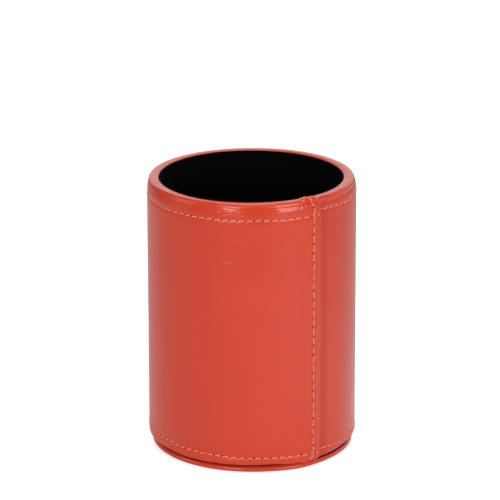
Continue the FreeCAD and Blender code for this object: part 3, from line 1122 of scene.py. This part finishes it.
def bonded_thread():
    """Pale flecks on a matte orange: to the eye, soft fibres that catch the light evenly."""
    material, tree, place = new_material("bonded_polyester_thread_orange")
    fibres = add(tree, "ShaderNodeTexNoise", [("Vector", place), ("Scale", per(FILAMENT)),
                                              ("Detail", 2.0)])
    tint = add(tree, "ShaderNodeMix", [(0, fibres.outputs[0]), (6, colour("#F57E5C")),
                                       (7, colour("#FFA684"))], data_type="RGBA")
    bump = add(tree, "ShaderNodeBump", [("Height", fibres.outputs[0]), ("Strength", 0.4),
                                        ("Distance", FILAMENT_RELIEF)])
    shader = add(tree, "ShaderNodeBsdfPrincipled", [
        ("Base Color", tint.outputs[2]), ("Roughness", 0.55), ("Sheen Weight", THREAD_SHEEN),
        ("Sheen Roughness", 0.4), ("Normal", bump.outputs[0])])
    add(tree, "ShaderNodeOutputMaterial", [("Surface", shader.outputs[0])])
    print(f"{material.name}: {len(tree.nodes)} nodes")
    return material


thread = bonded_thread()
for piece in (rim_stitches, foot_stitches, seam_stitches):
    dress(piece, thread)

# %% [markdown]
# ### Black pile cloth, card, greyboard and felt
#
# The pile drinks light: a near-black colour and hardly any gloss. The boards don't show on the
# finished cup, but someone who opens the model will look at them, so each gets its own fibres and
# flecks. All of them are matte fibrous stuffs, so one function makes them.

# %% The fibrous finishes
FLECK_RELIEF = 0.05 * MM


def fibrous(name, low, high, size, roughness, sheen=0.0, specular=0.2):
    """A matte fibrous stuff with flecks of a given size between two colours."""
    material, tree, place = new_material(name)
    flecks = add(tree, "ShaderNodeTexNoise", [("Vector", place), ("Scale", per(size)),
                                              ("Detail", 5.0), ("Roughness", 0.65)])
    tint = add(tree, "ShaderNodeMix", [(0, flecks.outputs[0]), (6, colour(low)),
                                       (7, colour(high))], data_type="RGBA")
    bump = add(tree, "ShaderNodeBump", [("Height", flecks.outputs[0]), ("Strength", 0.6),
                                        ("Distance", FLECK_RELIEF)])
    shader = add(tree, "ShaderNodeBsdfPrincipled", [
        ("Base Color", tint.outputs[2]), ("Roughness", roughness),
        ("Specular IOR Level", specular), ("Sheen Weight", sheen), ("Sheen Roughness", 0.5),
        ("Normal", bump.outputs[0])])
    add(tree, "ShaderNodeOutputMaterial", [("Surface", shader.outputs[0])])
    print(f"{name}: {len(tree.nodes)} nodes")
    return material


print(f"flecks up to {FLECK_RELIEF / MM} mm high")

# %% Dress the lining and the pad
# Deep black that light sinks into, so the well looks soft and has no shine.
pile = fibrous("black_rayon_pile", "#020101", "#0A0606", 0.5 * MM, 1.0, specular=0.05)
for piece in (lining, floor_pile):
    dress(piece, pile)

# Soft charcoal with a whisper of light along its edge, as pressed wool has.
dress(pad, fibrous("pressed_wool_felt_black", "#0C0C0C", "#242322", 0.8 * MM, 0.95, sheen=0.08))

# %% Dress the boards and the card
# Dull grey pulp with pale and dark flecks, which tells the eye that it is waste-paper board.
greyboard = fibrous("grey_bookbinding_board", "#7E7973", "#A09A91", 1.2 * MM, 0.9)
for node in ("body_tube", "body_floor", "foot_card", "base_board"):
    dress(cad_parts[node], greyboard)

# Black paper with a slight tooth: paler and smoother than the pile beside it.
card = fibrous("black_lining_card", "#161515", "#262524", 0.7 * MM, 0.8)
for node in ("lining_card", "lining_floor_card"):
    dress(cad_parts[node], card)

# %% [markdown]
# ## Floor, light and camera
#
# A product shot on white needs a floor that is white to the camera and still holds a soft shadow.
# The floor gives the camera some light of its own on top of what falls on it. It lies a hair
# below the pad, so that the two faces never share a place. In the leather's reflections it has a
# bright pool at the front right and goes dim far away, as a table lit by softboxes does.
#
# The room is plain grey to the cup. Only a white sweep low behind it shows, and it puts the pale
# edges on the leather. A left and a right softbox, low at the front, put the two soft columns of
# light on the wall and the glints on the rim. One softbox above lights the floor and the rim's
# top, and two weak fills at the sides keep the turning wall from going black.

# %% The floor's paper
PAPER_SHARE = 0.66
PAPER_DIM = 0.2
PAPER_REACH = (0.36, 0.70)
POOL = 0.60
POOL_PLACE = (0.14, -0.15, 0)
POOL_REACH = 0.32


def white_paper():
    """White to the camera with a soft shadow in it, and a pool of light in reflections."""
    material, tree, place = new_material("white_paper_sweep")
    path = add(tree, "ShaderNodeLightPath")
    reach = add(tree, "ShaderNodeVectorMath", [(0, place)], operation="LENGTH")
    near = add(tree, "ShaderNodeMapRange", [("Value", reach.outputs["Value"]),
                                            ("From Min", PAPER_REACH[0]),
                                            ("From Max", PAPER_REACH[1]), ("To Min", 1.0),
                                            ("To Max", PAPER_DIM)])
    # To glossy rays the paper is painted dimmer away from the cup: a painted falloff of light.
    shown = add(tree, "ShaderNodeMix", [(0, path.outputs["Is Glossy Ray"]), (2, 1.0),
                                        (3, near.outputs[0])])
    tint = add(tree, "ShaderNodeMix", [(0, shown.outputs[0]), (6, colour("#000000")),
                                       (7, colour("#E6E6E6"))], data_type="RGBA")
    paper = add(tree, "ShaderNodeBsdfDiffuse", [("Color", tint.outputs[2])])
    # A painted pool of light: the paper glows to glossy rays near the front right.
    away = add(tree, "ShaderNodeVectorMath", [(0, place), (1, POOL_PLACE)], operation="DISTANCE")
    pool = add(tree, "ShaderNodeMapRange", [("Value", away.outputs["Value"]), ("From Min", 0.0),
                                            ("From Max", POOL_REACH), ("To Min", POOL),
                                            ("To Max", 0.0)], interpolation_type="SMOOTHSTEP")
    shine = add(tree, "ShaderNodeMath", [(0, path.outputs["Is Glossy Ray"]),
                                         (1, pool.outputs[0])], operation="MULTIPLY")
    seen = add(tree, "ShaderNodeMath", [(0, path.outputs["Is Camera Ray"]), (1, PAPER_SHARE),
                                        (2, shine.outputs[0])], operation="MULTIPLY_ADD")
    glow = add(tree, "ShaderNodeEmission", [("Color", (1, 1, 1, 1)),
                                            ("Strength", seen.outputs[0])])
    mix = add(tree, "ShaderNodeAddShader", [(0, paper.outputs[0]), (1, glow.outputs[0])])
    add(tree, "ShaderNodeOutputMaterial", [("Surface", mix.outputs[0])])
    return material


print(f"the pool reaches {POOL_REACH} m")

# %% Lay the floor
FLOOR_SPREAD = 4.0
FLOOR_SIDES = 64
FLOOR_DROP = 0.05 * MM

ground = bmesh.new()
bmesh.ops.create_circle(ground, segments=FLOOR_SIDES, radius=FLOOR_SPREAD, cap_ends=True,
                        matrix=Matrix.Translation((0, 0, -FLOOR_DROP)))
mesh = bpy.data.meshes.new("floor")
ground.to_mesh(mesh)
ground.free()
floor = placed("floor", mesh)
dress(floor, white_paper())
print(f"floor {2 * FLOOR_SPREAD:.0f} m across")

# %% The sky
ROOM = 0.18
SWEEP_LEAN = 0.5
SWEEP_SIDES = (0.3, 0.62)
SWEEP_TOP = (0.44, 0.60)


def studio(tree):
    """White to the camera, a white sweep low behind, and a dim room everywhere else."""
    rays = add(tree, "ShaderNodeLightPath")
    way = add(tree, "ShaderNodeTexCoord").outputs["Generated"]
    ways = add(tree, "ShaderNodeSeparateXYZ", [(0, way)])
    turned = add(tree, "ShaderNodeMath", [(0, ways.outputs["X"]), (1, SWEEP_LEAN),
                                          (2, ways.outputs["Y"])], operation="MULTIPLY_ADD")
    behind = add(tree, "ShaderNodeMapRange", [("Value", turned.outputs[0]),
                                              ("From Min", SWEEP_SIDES[0]),
                                              ("From Max", SWEEP_SIDES[1])],
                 interpolation_type="SMOOTHSTEP")
    level = add(tree, "ShaderNodeMapRange", [("Value", ways.outputs["Z"]),
                                             ("From Min", SWEEP_TOP[0]),
                                             ("From Max", SWEEP_TOP[1]), ("To Min", 1.0),
                                             ("To Max", 0.0)], interpolation_type="SMOOTHSTEP")
    sweep = add(tree, "ShaderNodeMath", [(0, behind.outputs[0]), (1, level.outputs[0])],
                operation="MULTIPLY")
    white = add(tree, "ShaderNodeMath", [(0, sweep.outputs[0]),
                                         (1, rays.outputs["Is Camera Ray"])],
                operation="MAXIMUM")
    strength = add(tree, "ShaderNodeMapRange", [("Value", white.outputs[0]), ("To Min", ROOM),
                                                ("To Max", 1.0)])
    light = add(tree, "ShaderNodeBackground", [("Color", (1, 1, 1, 1)),
                                               ("Strength", strength.outputs[0])])
    add(tree, "ShaderNodeOutputWorld", [("Surface", light.outputs[0])])


sky = bpy.data.worlds.new("white_studio")
bpy.context.scene.world = sky
sky.use_nodes = True
sky.node_tree.nodes.clear()
studio(sky.node_tree)
print(f"the room is at {ROOM} of white")

# %% The lamps
MIDDLE = (0, 0, RIM / 2)
# Each lamp is its name, place, width and height in metres, and power in watts. The top one is a
# hair off the middle, so that it has an up side.
LAMPS = (
    ("left_softbox", around(-22, 1.6, 0.50), 0.50, 0.35, 9.2),
    ("right_softbox", around(39, 1.6, 0.46), 0.72, 0.46, 10.3),
    ("top_softbox", (0, 0.0001, 1.5), 0.80, 0.80, 8.5),
    ("left_fill", around(-80, 1.0, 0.40), 0.50, 0.50, 1.5),
    ("right_fill", around(80, 1.0, 0.40), 0.50, 0.50, 0.6),
)


def softbox(name, place, width, height, power):
    """A rectangular lamp that faces the middle of the cup."""
    lamp = bpy.data.lights.new(name, "AREA")
    lamp.shape = "RECTANGLE"
    lamp.size = width
    lamp.size_y = height
    lamp.energy = power
    made = placed(name, lamp)
    made.location = place
    made.rotation_euler = (Vector(MIDDLE) - Vector(place)).to_track_quat("-Z", "Y").to_euler()


for lamp in LAMPS:
    softbox(*lamp)
print(f"{len(LAMPS)} lamps, {sum(lamp[-1] for lamp in LAMPS):.1f} W in all")

# %% The camera
PITCH = 17.72
LENS = 221.3
SENSOR = 36.0
FARTHEST = 20
EYE_PLACE = (-0.484 * MM, -1075.8 * MM, 417.2 * MM)

eye = bpy.data.cameras.new("camera")
eye.lens = LENS
eye.sensor_width = SENSOR
eye.clip_end = FARTHEST
camera = placed("camera", eye)
camera.location = EYE_PLACE
camera.rotation_euler = (math.radians(90 - PITCH), 0, 0)
bpy.context.scene.camera = camera
bpy.context.scene.view_settings.view_transform = "Standard"
print("camera is", round((camera.location - Vector(MIDDLE)).length, 3), "m from the cup")
